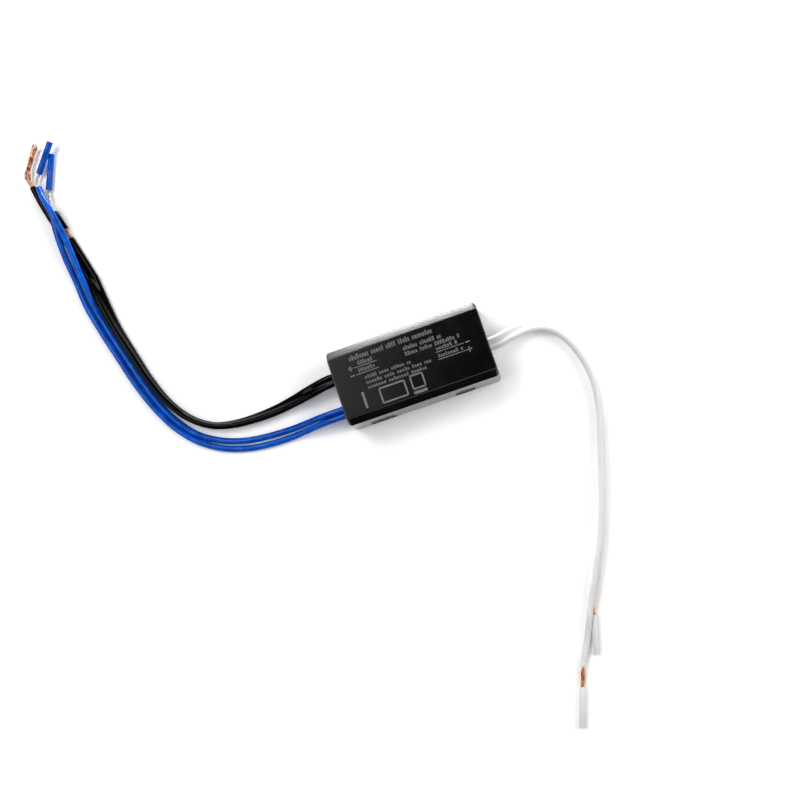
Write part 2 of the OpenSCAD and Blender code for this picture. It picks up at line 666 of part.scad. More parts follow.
// Bare wire that leaves the lead, bends and drops through the board
module tail(toward) {
    $fn = 16;
    drop = lead_z - tail_bend - (board_z - tail_below);
    rotate([0, 0, toward]) {
        translate([-tail_run, 0, lead_z]) rotate([0, 90, 0]) cylinder(d = core_d, h = tail_run - tail_bend);
        translate([-tail_bend, 0, lead_z - tail_bend]) rotate([90, 0, 0])
            rotate_extrude(angle = 90) translate([tail_bend, 0]) circle(d = core_d);
        translate([0, 0, board_z - tail_below]) cylinder(d = core_d, h = drop);
    }
}
module supply_tails() {
    color("#b87333") for (y = supply_tail_ys) translate([-tail_x, y, 0]) tail(0);
}
module control_tails() {
    color("#c0c2c4") for (y = control_tail_ys) translate([-tail_x, y, 0]) tail(0);
}
module lamp_tails() {
    color("#b87333") for (y = lamp_tail_ys) translate([tail_x, y, 0]) tail(180);
}
module solder_joints() {
    $fn = 16;
    r = core_d / 2;
    color("#c9ccd0") tail_places() translate([0, 0, board_z - 0.65]) rotate_extrude() polygon([
        [r, 0], [r + 0.08, 0], [r + 0.15, 0.35], [r + 0.3, 0.65], [r, 0.65]]);
}

module supply_lead() {
    color("#101112") sweep(supply_route, flat_section(lead_w, lead_t));
}
module supply_wire_long() {
    color("#101112") sweep(supply_long_route, round_section(wire_d));
}
module supply_wire_short() {
    color("#101112") sweep(supply_short_route, round_section(wire_d));
}
module control_wire_inner() {
    color("#0a55cc") sweep(control_inner_route, round_section(wire_d));
}
module control_wire_outer() {
    color("#0a55cc") sweep(control_outer_route, round_section(wire_d));
}
module lamp_lead() {
    color("#f2f2ee") sweep(lamp_route, flat_section(lead_w, lead_t));
}
module lamp_wire_long() {
    color("#f2f2ee") sweep(lamp_long_route, round_section(wire_d));
}
module lamp_wire_short() {
    color("#f2f2ee") sweep(lamp_short_route, round_section(wire_d));
}

module supply_frayed_core() {
    color("#b87333") {
        sweep(strand_left, round_section(strand_d));
        sweep(strand_right, round_section(strand_d));
    }
}
module supply_short_core() {
    color("#b87333") sweep(supply_short_core_route, round_section(core_d));
}
module supply_sleeve() {
    color("#101112") bar_between(supply_sleeve_from, supply_sleeve_to, wire_d, sleeve_bore);
}
module control_inner_core() {
    color("#c0c2c4") sweep(control_inner_core_route, round_section(core_d));
}
module control_outer_core() {
    color("#c0c2c4") sweep(control_outer_core_route, round_section(core_d));
}
module control_inner_sleeve() {
    color("#0a55cc") bar_between(control_inner_sleeve_from, control_inner_sleeve_to, wire_d, sleeve_bore);
}
module control_outer_sleeve() {
    color("#0a55cc") bar_between(control_outer_sleeve_from, control_outer_sleeve_to, wire_d, sleeve_bore);
}
module lamp_long_core() {
    color("#b87333") sweep(lamp_long_core_route, round_section(core_d));
}
module lamp_short_core() {
    color("#b87333") sweep(lamp_short_core_route, round_section(core_d));
}
module lamp_long_sleeve() {
    color("#f2f2ee") bar_between(lamp_long_sleeve_from, lamp_long_sleeve_to, wire_d, sleeve_bore);
}
module lamp_short_sleeve() {
    color("#f2f2ee") bar_between(lamp_short_sleeve_from, lamp_short_sleeve_to, wire_d, sleeve_bore);
}

case_cover();
base_plate();
circuit_board();
input_capacitor();
output_capacitor();
capacitor_feet();
inductor_core();
inductor_winding();
control_chip();
control_chip_pins();
power_transistor();
power_transistor_pins();
input_diode();
freewheel_diode();
diode_terminals();
input_fuse();
fuse_caps();
sense_resistors();
chip_resistors();
chip_capacitors();
chip_end_caps();
supply_tails();
control_tails();
lamp_tails();
solder_joints();
supply_lead();
supply_wire_long();
supply_wire_short();
control_wire_inner();
control_wire_outer();
lamp_lead();
lamp_wire_long();
lamp_wire_short();
supply_frayed_core();
supply_short_core();
supply_sleeve();
control_inner_core();
control_outer_core();
control_inner_sleeve();
control_outer_sleeve();
lamp_long_core();
lamp_short_core();
lamp_long_sleeve();
lamp_short_sleeve();
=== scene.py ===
import math
import random
import bpy
from mathutils import Matrix, Vector


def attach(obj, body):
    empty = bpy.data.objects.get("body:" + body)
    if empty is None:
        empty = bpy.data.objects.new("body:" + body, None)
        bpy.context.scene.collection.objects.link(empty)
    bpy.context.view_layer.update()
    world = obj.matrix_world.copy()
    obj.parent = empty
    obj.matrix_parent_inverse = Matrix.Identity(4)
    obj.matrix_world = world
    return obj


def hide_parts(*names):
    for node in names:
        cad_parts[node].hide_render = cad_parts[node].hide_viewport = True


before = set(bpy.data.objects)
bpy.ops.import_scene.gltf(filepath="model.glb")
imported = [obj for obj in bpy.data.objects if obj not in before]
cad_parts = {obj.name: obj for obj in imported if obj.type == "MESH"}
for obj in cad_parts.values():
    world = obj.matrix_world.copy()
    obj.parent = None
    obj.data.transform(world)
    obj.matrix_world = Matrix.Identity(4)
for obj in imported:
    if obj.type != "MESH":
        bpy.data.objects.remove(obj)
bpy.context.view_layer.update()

mm = 0.001  # pieces are given in millimetres, camera, lamps and stage in metres
bodyName = "root"


# small helpers
def deselectAll():
    if bpy.context.object and bpy.context.object.mode != "OBJECT":
        bpy.ops.object.mode_set(mode="OBJECT")
    bpy.ops.object.select_all(action="DESELECT")


def selectOnly(obj):
    deselectAll()
    obj.select_set(True)
    bpy.context.view_layer.objects.active = obj


def place(x, y, z):
    return Vector((x * mm, y * mm, z * mm))


def smoothByAngle(obj, degrees):
    selectOnly(obj)
    bpy.ops.object.shade_smooth_by_angle(angle=math.radians(degrees))


def applyModifier(obj, name, kind, **settings):
    modifier = obj.modifiers.new(name, kind)
    for key, value in settings.items():
        setattr(modifier, key, value)
    bpy.ops.object.modifier_apply(modifier=modifier.name)


def closedPiece(name, verts, faces, foldAngle):
    # a shell from its points and faces, with every face turned outwards
    mesh = bpy.data.meshes.new(name)
    mesh.from_pydata(verts, [], faces)
    mesh.update()
    obj = bpy.data.objects.new(name, mesh)
    bpy.context.scene.collection.objects.link(obj)
    selectOnly(obj)
    bpy.ops.object.mode_set(mode="EDIT")
    bpy.ops.mesh.select_all(action="SELECT")
    bpy.ops.mesh.normals_make_consistent(inside=False)
    bpy.ops.object.mode_set(mode="OBJECT")
    smoothByAngle(obj, foldAngle)
    return obj


def finishPiece(obj, look, *nodes):
    # a piece gets its finish and its body, and the nodes that it stands for are hidden
    obj.data.materials.clear()
    obj.data.materials.append(finishes[look])
    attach(obj, bodyName)
    if nodes:
        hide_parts(*nodes)
    return obj


# shader arithmetic
def joinUp(tree, value, slot):
    if isinstance(value, Wire):
        tree.links.new(value.socket, slot)
    else:
        slot.default_value = (*value, 1) if slot.type == "RGBA" else value


class Wire:
    def __init__(self, tree, socket):
        self.tree, self.socket = tree, socket

    def maths(self, operation, other, swapped=False):
        node = self.tree.nodes.new("ShaderNodeMath")
        node.operation = operation
        pair = (other, self) if swapped else (self, other)
        joinUp(self.tree, pair[0], node.inputs[0])
        joinUp(self.tree, pair[1], node.inputs[1])
        return Wire(self.tree, node.outputs[0])

    def __add__(self, other):
        return self.maths("ADD", other)

    def __sub__(self, other):
        return self.maths("SUBTRACT", other)

    def __mul__(self, other):
        return self.maths("MULTIPLY", other)

    def __rsub__(self, other):
        return self.maths("SUBTRACT", other, True)

    __radd__ = __add__
    __rmul__ = __mul__


class Nodes:
    def __init__(self, tree):
        self.tree = tree

    def node(self, kind, settings=None, output=0, sockets=None, **values):
        # settings first, then the sockets, by number in a dictionary or by name
        made = self.tree.nodes.new(kind)
        for key, value in (settings or {}).items():
            if key == "stops":
                for stop, (position, shade) in zip(made.color_ramp.elements, value):
                    stop.position, stop.color = position, (shade, shade, shade, 1)
            else:
                setattr(made, key, value)
        for key, value in (sockets or {}).items():
            joinUp(self.tree, value, made.inputs[key])
        for key, value in values.items():
            joinUp(self.tree, value, made.inputs[key.replace("_", " ")])
        return Wire(self.tree, made.outputs[output])

    def spot(self):
        return self.node("ShaderNodeTexCoord", output="Object")

    def ramp(self, value, low, high):
        return self.node("ShaderNodeValToRGB", {"stops": [(low, 0.0), (high, 1.0)]}, Fac=value)

    def seen(self):
        # 1 where something is seen directly, mirrored or through glass, 0 where it only gives light
        direct, mirrored, through = (
            self.node("ShaderNodeLightPath", output=kind)
            for kind in ("Is Camera Ray", "Is Glossy Ray", "Is Transmission Ray"))
        return direct.maths("MAXIMUM", mirrored).maths("MAXIMUM", through)


class Finish(Nodes):
    def __init__(self, name):
        self.material = bpy.data.materials.new(name)
        self.material.use_nodes = True
        super().__init__(self.material.node_tree)

    def noise(self, scale, detail, roughness):
        return self.node("ShaderNodeTexNoise", Vector=self.spot(), Scale=scale, Detail=detail,
                         Roughness=roughness)

    def cells(self, scale):
        return self.node("ShaderNodeTexVoronoi", Vector=self.spot(), Scale=scale)

    def blend(self, factor, first, second):
        return self.node("ShaderNodeMix", {"data_type": "RGBA"}, 2, {0: factor, 6: first, 7: second})

    def bump(self, height, strength, distance):
        return self.node("ShaderNodeBump", Height=height, Strength=strength, Distance=distance)

    def give(self, **values):
        shader = self.tree.nodes["Principled BSDF"]
        for key, value in values.items():
            joinUp(self.tree, value, shader.inputs[key.replace("_", " ")])
        return self.material


# camera
cameraSpec = {
    "place": (0.013083, -0.030878, 0.27119),
    "turn": (0.06188, 0.09761, -0.32587),
    "lens": 46.125,
    "sensor": 36.0,
    "clip": (0.01, 10),
}


def makeCamera(spec):
    bpy.ops.object.camera_add(location=spec["place"], rotation=spec["turn"])
    camera = bpy.context.object
    camera.name = "photoCamera"
    camera.data.lens = spec["lens"]
    camera.data.sensor_width = spec["sensor"]
    camera.data.clip_start, camera.data.clip_end = spec["clip"]
    bpy.context.scene.camera = camera


makeCamera(cameraSpec)
print("camera made")


# finishes, with a noise as its scale, detail and roughness, and a bump as its strength and depth
plasticSpec = {
    "housingPlastic": {
        "grain": (2300, 3, 0.6), "haze": (170, 4, 0.6), "hazeSpan": (0.42, 0.7),
        "deep": (0.0008, 0.0009, 0.001), "worn": (0.0018, 0.0019, 0.0019),
        "rough": 0.14, "hazeRough": 0.05, "grainRough": 0.05, "bump": (0.22, 0.00004), "shine": 0.5,
    },
    "basePlastic": {
        "grain": (4300, 2, 0.5), "haze": (210, 3, 0.5), "hazeSpan": (0.4, 0.75),
        "deep": (0.004, 0.0045, 0.005), "worn": (0.008, 0.0085, 0.009),
        "rough": 0.42, "hazeRough": 0.0, "grainRough": 0.12, "bump": (0.3, 0.00003), "shine": 0.2,
    },
}


def plastic(name, spec):
    f, look = Finish(name), spec[name]
    grain = f.noise(*look["grain"])
    haze = f.ramp(f.noise(*look["haze"]), *look["hazeSpan"])
    return f.give(
        Base_Color=f.blend(haze, look["deep"], look["worn"]),
        Roughness=look["rough"] + haze * look["hazeRough"] + grain * look["grainRough"],
        Normal=f.bump(grain, *look["bump"]),
        Specular_IOR_Level=look["shine"],
    )


inkSpec = {
    "wear": (2600, 3, 0.6), "wearSpan": (0.36, 0.62), "fade": (150, 2, 0.5), "fadeSpan": (0.3, 0.7),
    "dull": (0.085, 0.09, 0.082), "pale": (0.27, 0.285, 0.255), "faded": (0.12, 0.13, 0.115),
    "fadeShare": 0.4, "rough": 0.55, "wearRough": 0.1, "printInk": 1.0, "faintInk": 0.62,
}


def ink(name, spec):
    f = Finish(name)
    wear = f.ramp(f.noise(*spec["wear"]), *spec["wearSpan"])
    fade = f.ramp(f.noise(*spec["fade"]), *spec["fadeSpan"])
    dull, pale, faded = (
        tuple(spec[name] * c for c in spec[shade]) for shade in ("dull", "pale", "faded"))
    return f.give(
        Base_Color=f.blend(fade * spec["fadeShare"], f.blend(wear, dull, pale), faded),
        Roughness=spec["rough"] + wear * spec["wearRough"],
    )


insulationSpec = {
    "wave": (420, 2, 0.5), "waveSpan": (0.3, 0.72), "waveDepth": 0.0002,
    "speck": (1500, 3, 0.6), "speckSpan": (0.5, 0.8), "speckRough": 0.12,
    "blackInsulation": {"deep": (0.0008, 0.0008, 0.001), "fresh": (0.002, 0.002, 0.0022),
                        "rough": 0.07, "ripple": 0.08, "shine": 0.08},
    "blueInsulation": {"deep": (0.0, 0.055, 0.42), "fresh": (0.0, 0.125, 0.68),
                       "rough": 0.12, "ripple": 0.1, "shine": 0.2},
    "whiteInsulation": {"deep": (0.85, 0.855, 0.845), "fresh": (0.89, 0.895, 0.885),
                        "rough": 0.35, "ripple": 0.1, "shine": 0.25},
}


def insulation(name, spec):
    f, look = Finish(name), spec[name]
    wave = f.noise(*spec["wave"])
    speck = f.ramp(f.noise(*spec["speck"]), *spec["speckSpan"])
    return f.give(
        Base_Color=f.blend(f.ramp(wave, *spec["waveSpan"]), look["deep"], look["fresh"]),
        Roughness=look["rough"] + speck * spec["speckRough"],
        Normal=f.bump(wave, look["ripple"], spec["waveDepth"]),
        Specular_IOR_Level=look["shine"],
    )


metalSpec = {
    "toneSpan": (0.38, 0.62), "fine": (5200, 2, 0.5), "bump": (0.25, 0.00004),
    "bareCopper": {"dark": (0.16, 0.035, 0.016), "bright": (0.94, 0.47, 0.2),
                   "tone": (800, 3, 0.6), "rough": (0.22, 0.42), "metal": 0.6},
    "tinnedCopper": {"dark": (0.34, 0.33, 0.31), "bright": (0.74, 0.73, 0.7),
                     "tone": (1300, 3, 0.6), "rough": (0.22, 0.42), "metal": 0.6},
    "tinnedTerminal": {"dark": (0.5, 0.5, 0.5), "bright": (0.8, 0.8, 0.81),
                       "tone": (1300, 3, 0.6), "rough": (0.25, 0.4), "metal": 1.0},
    "drawnAluminium": {"dark": (0.6, 0.61, 0.62), "bright": (0.82, 0.83, 0.84),
                       "tone": (1300, 3, 0.6), "rough": (0.22, 0.35), "metal": 1.0},
    "enamelledWire": {"dark": (0.35, 0.1, 0.03), "bright": (0.7, 0.28, 0.1),
                      "tone": (1300, 3, 0.6), "rough": (0.2, 0.35), "metal": 1.0},
}


def bareMetal(name, spec):
    f, look = Finish(name), spec[name]
    tone = f.ramp(f.noise(*look["tone"]), *spec["toneSpan"])
    fine = f.noise(*spec["fine"])
    low, high = look["rough"]
    return f.give(
        Base_Color=f.blend(tone, look["dark"], look["bright"]),
        Metallic=look["metal"],
        Roughness=low + fine * (high - low),
        Normal=f.bump(fine, *spec["bump"]),
    )


boardSpec = {
    "weave": (900, 2, 0.5), "cells": 320, "cellSpan": (0.45, 0.5), "laminate": (0.02, 0.13, 0.05),
    "overCopper": (0.035, 0.19, 0.075), "rough": 0.3, "weaveRough": 0.15, "bump": (0.2, 0.00003),
}


def boardLaminate(spec):
    f = Finish("boardLaminate")
    weave = f.noise(*spec["weave"])
    copperField = f.ramp(f.cells(spec["cells"]), *spec["cellSpan"])
    return f.give(
        Base_Color=f.blend(copperField, spec["laminate"], spec["overCopper"]),
        Roughness=spec["rough"] + weave * spec["weaveRough"],
        Normal=f.bump(copperField, *spec["bump"]),
    )


mouldedSpec = {
    "grain": (3800, 3, 0.6), "grainSpan": (0.35, 0.7), "grainRough": 0.15, "bump": (0.3, 0.00003),
    "mouldedEpoxy": {"dark": (0.01, 0.01, 0.01), "pale": (0.028, 0.028, 0.028), "rough": 0.5},
    "sinteredFerrite": {"dark": (0.03, 0.03, 0.032), "pale": (0.06, 0.06, 0.062), "rough": 0.6},
    "fuseCeramic": {"dark": (0.62, 0.6, 0.53), "pale": (0.75, 0.72, 0.64), "rough": 0.5},
    "capacitorCeramic": {"dark": (0.32, 0.2, 0.1), "pale": (0.45, 0.3, 0.16), "rough": 0.45},
}


def mouldedPart(name, spec):
    f, look = Finish(name), spec[name]
    grain = f.noise(*spec["grain"])
    return f.give(
        Base_Color=f.blend(f.ramp(grain, *spec["grainSpan"]), look["dark"], look["pale"]),
        Roughness=look["rough"] + grain * spec["grainRough"],
        Normal=f.bump(grain, *spec["bump"]),
    )


finishes = {
    "housing": plastic("housingPlastic", plasticSpec),
    "base": plastic("basePlastic", plasticSpec),
    "ink": ink("printInk", inkSpec),
    "faintInk": ink("faintInk", inkSpec),
    "black": insulation("blackInsulation", insulationSpec),
    "blue": insulation("blueInsulation", insulationSpec),
    "white": insulation("whiteInsulation", insulationSpec),
    "copper": bareMetal("bareCopper", metalSpec),
    "tinned": bareMetal("tinnedCopper", metalSpec),
    "lead": bareMetal("tinnedTerminal", metalSpec),
    "can": bareMetal("drawnAluminium", metalSpec),
    "winding": bareMetal("enamelledWire", metalSpec),
    "board": boardLaminate(boardSpec),
    "chip": mouldedPart("mouldedEpoxy", mouldedSpec),
    "ferrite": mouldedPart("sinteredFerrite", mouldedSpec),
    "ceramic": mouldedPart("fuseCeramic", mouldedSpec),
    "tan": mouldedPart("capacitorCeramic", mouldedSpec),
}
print("finishes made")


# housing
shellSpec = {
    "weld": 1e-6, "flatAngle": 1.5, "smoothAngle": 30, "faceWeight": 100,
    "cover": {"edge": 0.14, "segments": 3, "foldAngle": 26},
    "plate": {"edge": 0.08, "segments": 2, "foldAngle": 30},
}


def softenedCopy(nodeName, name, edges):
    # the solid's loose triangles are welded, its flat faces closed up and its edges softened
    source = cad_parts[nodeName]
    obj = bpy.data.objects.new(name, source.data.copy())
    bpy.context.scene.collection.objects.link(obj)
    selectOnly(obj)
    bpy.ops.object.mode_set(mode="EDIT")
    bpy.ops.mesh.select_all(action="SELECT")
    bpy.ops.mesh.remove_doubles(threshold=shellSpec["weld"])
    bpy.ops.mesh.dissolve_limited(angle_limit=math.radians(shellSpec["flatAngle"]))
    bpy.ops.mesh.normals_make_consistent(inside=False)
    bpy.ops.object.mode_set(mode="OBJECT")
    applyModifier(obj, "softEdges", "BEVEL", width=edges["edge"] * mm, segments=edges["segments"],
                  limit_method="ANGLE", angle_limit=math.radians(edges["foldAngle"]))
    smoothByAngle(obj, shellSpec["smoothAngle"])
    # large faces keep their own direction, only the soft edges turn
    applyModifier(obj, "flatFaces", "WEIGHTED_NORMAL", weight=shellSpec["faceWeight"], keep_sharp=True)
    return obj


housing = softenedCopy("case_cover", "housingCover", shellSpec["cover"])
finishPiece(housing, "housing", "case_cover")
plate = softenedCopy("base_plate", "basePlate", shellSpec["plate"])
finishPiece(plate, "base", "base_plate")
print("housing made")


# printed marks
printSpec = {
    "top": 15.0, "lift": 0.002, "ink": 0.012, "rounding": 0.06, "cornerSteps": 2,
    "rules": [((-14.0, 3.75), (-7.9, 3.75)), ((-14.0, 1.9), (-7.9, 1.9)),
              ((6.8, 0.65), (14.2, 0.65)), ((6.8, -1.3), (14.2, -1.3))],
    "ruleWidth": 0.2,
    "minus": [(-15.0, 1.92, 1.1), (15.2, 0.65, 1.2)],
    "plus": [(-15.0, 3.85, 1.25), (15.1, -1.3, 1.35)],
    "signWidth": 0.3,
    "bars": [((-1.6, -7.3), (1.9, -7.3), 0.75), ((-14.0, -2.7), (-14.0, -7.0), 0.6)],
    "frames": [(-6.4, -5.2, 6.6, 3.8), (0.2, -4.6, 3.2, 3.4)],
    "frameWidth": 0.42,
}
rowSpec = {
    # left, right, middle, height
    "rows": [(-14.6, 8.6, 6.35, 1.35), (-12.8, -8.8, 4.65, 1.05), (-13.2, -7.9, 2.8, 0.95),
             (-0.7, 9.5, 4.35, 1.15), (-0.7, 13.9, 2.85, 1.05), (7.1, 12.9, 1.55, 1.0),
             (7.1, 13.6, -0.4, 0.95), (-12.2, 0.2, 0.6, 0.9), (-12.2, 5.3, -0.75, 0.9),
             (-12.2, 3.5, -2.05, 0.9)],
    "blockWidth": (0.4, 0.62), "blockGap": 0.16, "wordGap": 0.75, "wordBlocks": (4, 8),
    "lowShare": 0.65, "lowHeight": 0.74, "rounding": 0.16, "seed": 5,
}


def inkBlock(rounding):
    # one square of ink with clipped corners, to be copied at every size
    deselectAll()
    bpy.ops.mesh.primitive_plane_add(size=1)
    block = bpy.context.object
    bpy.ops.object.mode_set(mode="EDIT")
    bpy.ops.mesh.select_all(action="SELECT")
    bpy.ops.mesh.bevel(offset=rounding, segments=printSpec["cornerSteps"], affect="VERTICES")
    bpy.ops.object.mode_set(mode="OBJECT")
    return block


def inkStrip(block, start, end, width):
    a, b = Vector(start), Vector(end)
    run, middle = b - a, (a + b) / 2
    strip = block.copy()
    strip.data = block.data.copy()
    bpy.context.scene.collection.objects.link(strip)
    strip.scale = (run.length * mm, width * mm, 1)
    strip.rotation_euler = (0, 0, math.atan2(run.y, run.x))
    strip.location = place(middle.x, middle.y, printSpec["top"] + printSpec["lift"])
    return strip


def inkPiece(name, block, strips):
    bpy.data.objects.remove(block)
    deselectAll()
    for strip in strips:
        strip.select_set(True)
    bpy.context.view_layer.objects.active = strips[0]
    bpy.ops.object.join()
    piece = bpy.context.object
    bpy.ops.object.transform_apply(location=True, rotation=True, scale=True)
    piece.name = name
    applyModifier(piece, "inkDepth", "SOLIDIFY", thickness=printSpec["ink"] * mm, offset=0)
    return piece


def printMarks(spec):
    block = inkBlock(spec["rounding"])
    strips = [inkStrip(block, a, b, spec["ruleWidth"]) for a, b in spec["rules"]]
    strips += [inkStrip(block, a, b, width) for a, b, width in spec["bars"]]
    for x, y, size in spec["minus"] + spec["plus"]:
        strips.append(inkStrip(block, (x - size / 2, y), (x + size / 2, y), spec["signWidth"]))
    for x, y, size in spec["plus"]:
        strips.append(inkStrip(block, (x, y - size / 2), (x, y + size / 2), spec["signWidth"]))
    for x, y, wide, tall in spec["frames"]:
        w, h = wide / 2, tall / 2
        corners = [(x - w, y - h), (x + w, y - h), (x + w, y + h), (x - w, y + h)]
        for a, b in zip(corners, corners[1:] + corners[:1]):
            strips.append(inkStrip(block, a, b, spec["frameWidth"]))
    return inkPiece("printMarks", block, strips)


def printRows(spec):
    # rows of plain small blocks that stand where the wording was
    dice, block, strips = random.Random(spec["seed"]), inkBlock(spec["rounding"]), []
    for left, right, middle, height in spec["rows"]:
        x, blocksLeft = left, dice.randint(*spec["wordBlocks"])
        while x < right - spec["blockWidth"][0]:
            wide = dice.uniform(*spec["blockWidth"])
            tall = height * (spec["lowHeight"] if dice.random() < spec["lowShare"] else 1.0)
            foot = middle - height / 2
            strips.append(inkStrip(block, (x + wide / 2, foot), (x + wide / 2, foot + tall), wide))
            blocksLeft -= 1
            x += wide + (spec["blockGap"] if blocksLeft else spec["wordGap"])
            blocksLeft = blocksLeft or dice.randint(*spec["wordBlocks"])
    return inkPiece("printRows", block, strips)


finishPiece(printMarks(printSpec), "ink")
finishPiece(printRows(rowSpec), "faintInk")
print("print made")


# leads
leadSpec = {
    "width": 3.6, "thick": 1.75, "wire": 1.7, "control": 1.74, "step": 0.7, "foldAngle": 50,
    "wireSides": 16, "lobePoints": 11, "lobeReach": 132, "cutScale": 0.86, "cutDepth": 0.08,
}
routes = {
    "supply": [
        (-15.55, 3.8, 5.025, 0), (-22.65, 3.8, 5.025, 0), (-28.2, 3.05, 4.3, 10),
        (-33.3, 2.35, 2.6, 30), (-38.6, 1.75, 1.65, 45), (-44.7, 1.5, 1.7, 58),
        (-50.9, 1.9, 1.8, 70), (-56.6, 3.45, 1.85, 82), (-62, 7.4, 1.85, 85),
        (-66.3, 13.4, 1.85, 85), (-69.4, 20.9, 1.85, 80), (-71.7, 29.2, 1.85, 75),
        (-73.9, 37.5, 1.8, 65), (-75.4, 45.7, 1.55, 40), (-76.5, 53.4, 0.9, 0)],
    "supplyLong": [
        (-77.35, 52.77, 0.9), (-77.4, 53.45, 0.9), (-79, 59.6, 0.9), (-80.7, 65.8, 0.9),
        (-82.4, 72, 0.9), (-83.9, 78.1, 0.9), (-84.9, 83.3, 0.9)],
    "supplyShort": [
        (-75.51, 53.03, 0.9), (-75.7, 53.7, 0.9), (-76.7, 57.7, 0.9), (-77.8, 61.9, 0.9),
        (-78.85, 65.8, 0.9)],
    "controlInner": [
        (-15.55, -4.33, 5.025), (-22.65, -4.33, 5.025), (-28, -4.32, 4.3), (-32.8, -4.4, 2.4),
        (-37.5, -4.4, 1), (-43.7, -4.1, 0.9), (-49.8, -3.2, 0.9), (-55.6, -1.15, 0.9),
        (-60.9, 2.1, 0.9), (-65.2, 6.9, 0.9), (-68.8, 13.3, 0.9), (-71.6, 20.9, 0.9),
        (-74.1, 29.3, 0.9), (-76.4, 37.5, 0.9), (-78.1, 45.2, 1.2), (-78.6, 52.4, 2.4),
        (-79.1, 58.6, 2.7), (-79.6, 66, 3.4), (-80.4, 71.7, 4.3), (-81.2, 75.5, 4.3),
        (-82.2, 78.8, 3.2), (-83, 82.1, 1.9)],
    "controlOuter": [
        (-15.55, -6.07, 5.025), (-22.65, -6.07, 5.025), (-28, -6.08, 4.3), (-32.8, -6.3, 2.4),
        (-37.5, -6.48, 1), (-43.7, -6.3, 0.9), (-49.8, -5.38, 0.9), (-56.5, -2.97, 0.9),
        (-62.3, 1, 0.9), (-67, 6.5, 0.9), (-70.7, 13.3, 0.9), (-73.6, 20.9, 0.9),
        (-76, 29.3, 0.9), (-78.4, 38, 0.9), (-80.3, 46.3, 0.9), (-81, 53.5, 0.9),
        (-81.5, 60.1, 2), (-81.6, 65.8, 2.7), (-81.5, 71.4, 2.7)],
    "lamp": [
        (15.55, -0.6, 5.025, 0), (22.65, -0.6, 5.025, 0), (25.8, 0.1, 4.3, 0),
        (29.6, 0.6, 2.2, -15), (33.4, 0.1, 1.7, -55), (37.4, -2.2, 1.85, -85),
        (40.7, -7.1, 1.85, -90), (42.5, -13.1, 1.85, -90), (42.9, -19.2, 1.85, -90),
        (41.8, -26.1, 1.85, -90), (39.6, -33.5, 1.85, -90), (36.9, -41.9, 1.85, -90),
        (33.9, -50.3, 1.85, -85), (30.7, -58.2, 1.8, -80), (28.1, -63.3, 1.78, -75),
        (26.9, -65.95, 1.75, -68)],
    "lampLong": [
        (26.79, -65.35, 2.61), (26.53, -65.92, 2.6), (25.35, -68.1, 2.6), (24.7, -69.3, 2.45),
        (23.7, -71.35, 2.2), (22.6, -73.5, 2.1), (21.7, -75.4, 2), (20.9, -77.2, 1.6),
        (19.45, -80.4, 0.95), (17.1, -84.9, 0.9), (16.12, -86.8, 0.9)],
    "lampShort": [
        (27.42, -65.64, 0.9), (27.17, -66.2, 0.9), (25.85, -68.7, 0.9)],
}


def smoothRoute(points, step):
    # a smooth line through the points, with the roll carried along
    full = [list(p) + [0.0] * (4 - len(p)) for p in points]
    ends = [[2 * a - b for a, b in zip(full[0], full[1])]] + full
    ends += [[2 * a - b for a, b in zip(full[-1], full[-2])]]
    out = []
    for i in range(1, len(ends) - 2):
        p0, p1, p2, p3 = ends[i - 1:i + 3]
        gap = [max(math.dist(a[:3], b[:3]), 1e-6) ** 0.5 for a, b in ((p0, p1), (p1, p2), (p2, p3))]
        count = max(2, round(gap[1] ** 2 / step))
        for k in range(count):
            t = k / count
            row = []
            for a, b, c, d in zip(p0, p1, p2, p3):
                m1 = (b - a) / gap[0] - (c - a) / (gap[0] + gap[1]) + (c - b) / gap[1]
                m2 = (c - b) / gap[1] - (d - b) / (gap[1] + gap[2]) + (d - c) / gap[2]
                m1, m2 = m1 * gap[1], m2 * gap[1]
                row.append((2 * t**3 - 3 * t**2 + 1) * b + (t**3 - 2 * t**2 + t) * m1
                           + (3 * t**2 - 2 * t**3) * c + (t**3 - t**2) * m2)
            out.append(row)
    out.append(full[-1])
    return out


def routeFrames(line):
    # place, sideways and upward directions and roll at every point of a line
    frames = []
    for i, p in enumerate(line):
        a, b = line[max(i - 1, 0)], line[min(i + 1, len(line) - 1)]
        along = (Vector(b[:3]) - Vector(a[:3])).normalized()
        side = Vector((0, 0, 1)).cross(along).normalized()
        frames.append((Vector(p[:3]), side, along.cross(side), math.radians(p[3])))
    return frames


def sweptMesh(line, profile):
    # rings of the profile along the line, drawn in a little at both cut ends
    verts, faces, n = [], [], len(profile)
    frames = routeFrames(line)
    small, depth = leadSpec["cutScale"], leadSpec["cutDepth"]
    rings = [(frames[0], small)] + [(f, 1.0) for f in frames] + [(frames[-1], small)]
    lead = (Vector(line[1][:3]) - Vector(line[0][:3])).normalized() * depth
    tail = (Vector(line[-1][:3]) - Vector(line[-2][:3])).normalized() * depth
    for k, ((spot, side, up, roll), size) in enumerate(rings):
        shift = lead if k == 1 else -tail if k == len(rings) - 2 else Vector((0, 0, 0))
        for u, v in profile:
            a = (u * math.cos(roll) - v * math.sin(roll)) * size
            b = (u * math.sin(roll) + v * math.cos(roll)) * size
            verts.append((spot + shift + side * a + up * b) * mm)
    for k in range(len(rings) - 1):
        for i in range(n):
            j = (i + 1) % n
            faces.append((k * n + i, k * n + j, (k + 1) * n + j, (k + 1) * n + i))
    faces.append(tuple(reversed(range(n))))
    faces.append(tuple(range((len(rings) - 1) * n, len(rings) * n)))
    return verts, faces


def roundProfile(diameter, sides):
    return [(diameter / 2 * math.cos(2 * math.pi * k / sides),
             diameter / 2 * math.sin(2 * math.pi * k / sides)) for k in range(sides)]


